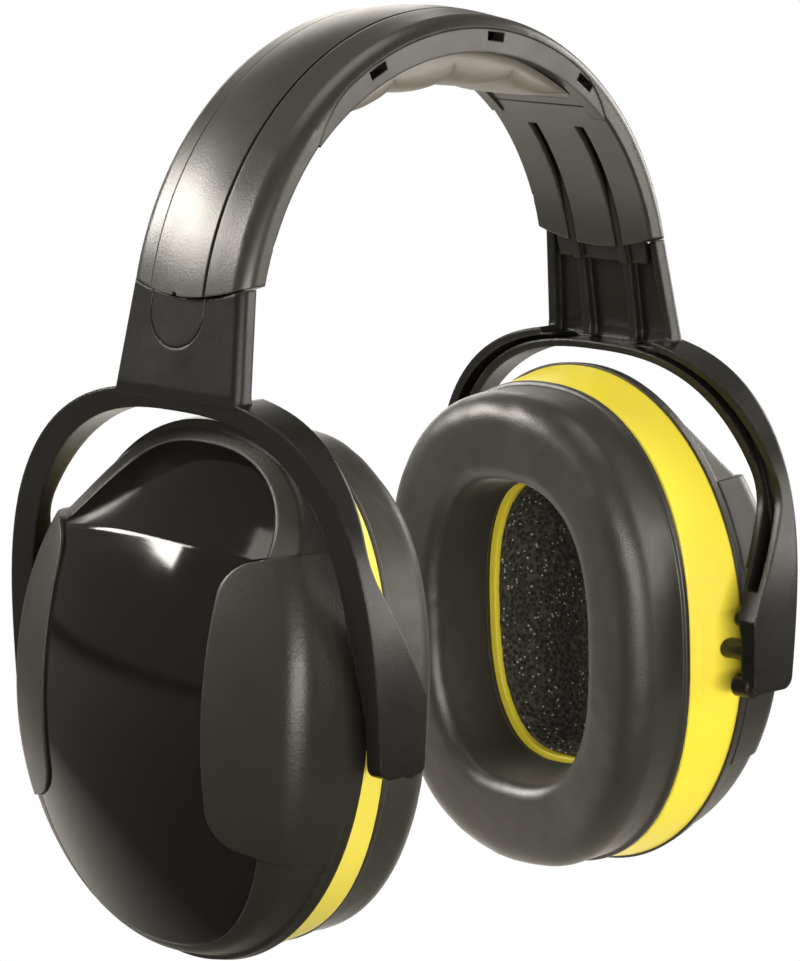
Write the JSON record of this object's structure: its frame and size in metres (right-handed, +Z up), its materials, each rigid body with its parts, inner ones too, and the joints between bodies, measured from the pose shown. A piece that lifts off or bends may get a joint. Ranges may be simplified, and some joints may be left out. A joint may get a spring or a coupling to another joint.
{
  "type": "earmuff hearing protector",
  "caption": "Over-the-head earmuff: sprung headband with padded crown, sliding yokes and tilting sound-deadening ear cups with soft seals.",
  "frame": {"origin": "bottom centre of the whole object, between the lowest points of the ear cups", "axes": "+X from the wearer's one ear to the other, -Y the front, +Z up"},
  "size_m": [0.1538, 0.1004, 0.1779],
  "materials": {
    "band_black": "satin moulded plastic, very fine grain",
    "strip_black": "satin moulded plastic, smooth",
    "carrier_black": "satin moulded plastic",
    "pad_grey": "soft smooth elastomer",
    "yoke_black": "satin moulded plastic",
    "cap_black": "satin moulded plastic",
    "pin_black": "blackened steel",
    "shell_charcoal": "matt moulded plastic, fine spark-eroded grain",
    "cover_gloss": "high gloss",
    "ring_yellow": "bright satin moulded plastic",
    "foam_dark": "open-cell foam with light flecks",
    "plate_black": "plain moulded plastic",
    "cushion_vinyl": "soft smooth leatherette over foam"
  },
  "bodies": {
    "headband": {"headband_shell": "band_black", "headband_strip": "strip_black", "pad_carrier": "carrier_black", "crown_pad": "pad_grey"},
    "right_yoke": {"right_yoke": "yoke_black", "right_stem_cap": "cap_black", "right_pivot_pins": "pin_black"},
    "right_cup": {"right_cup_shell": "shell_charcoal", "right_cup_cover": "cover_gloss", "right_base_ring": "ring_yellow", "right_foam_liner": "foam_dark", "right_cushion_plate": "plate_black", "right_cushion": "cushion_vinyl"},
    "left_yoke": {"left_yoke": "yoke_black", "left_stem_cap": "cap_black", "left_pivot_pins": "pin_black"},
    "left_cup": {"left_cup_shell": "shell_charcoal", "left_cup_cover": "cover_gloss", "left_base_ring": "ring_yellow", "left_foam_liner": "foam_dark", "left_cushion_plate": "plate_black", "left_cushion": "cushion_vinyl"}
  },
  "joints": [
    {"name": "right_height", "type": "slide", "parent": "headband", "child": "right_yoke", "axis": [0.2756, 0, -0.9613], "range_m": [0, 0.012]},
    {"name": "right_tilt", "type": "hinge", "parent": "right_yoke", "child": "right_cup", "pos_m": [0.0506, 0, 0.05043], "axis": [0, 1, 0], "range_deg": [-10, 10]},
    {"name": "left_height", "type": "slide", "parent": "headband", "child": "left_yoke", "axis": [-0.2756, 0, -0.9613], "range_m": [0, 0.012]},
    {"name": "left_tilt", "type": "hinge", "parent": "left_yoke", "child": "left_cup", "pos_m": [-0.0506, 0, 0.05043], "axis": [0, 1, 0], "range_deg": [-10, 10]}
  ]
}
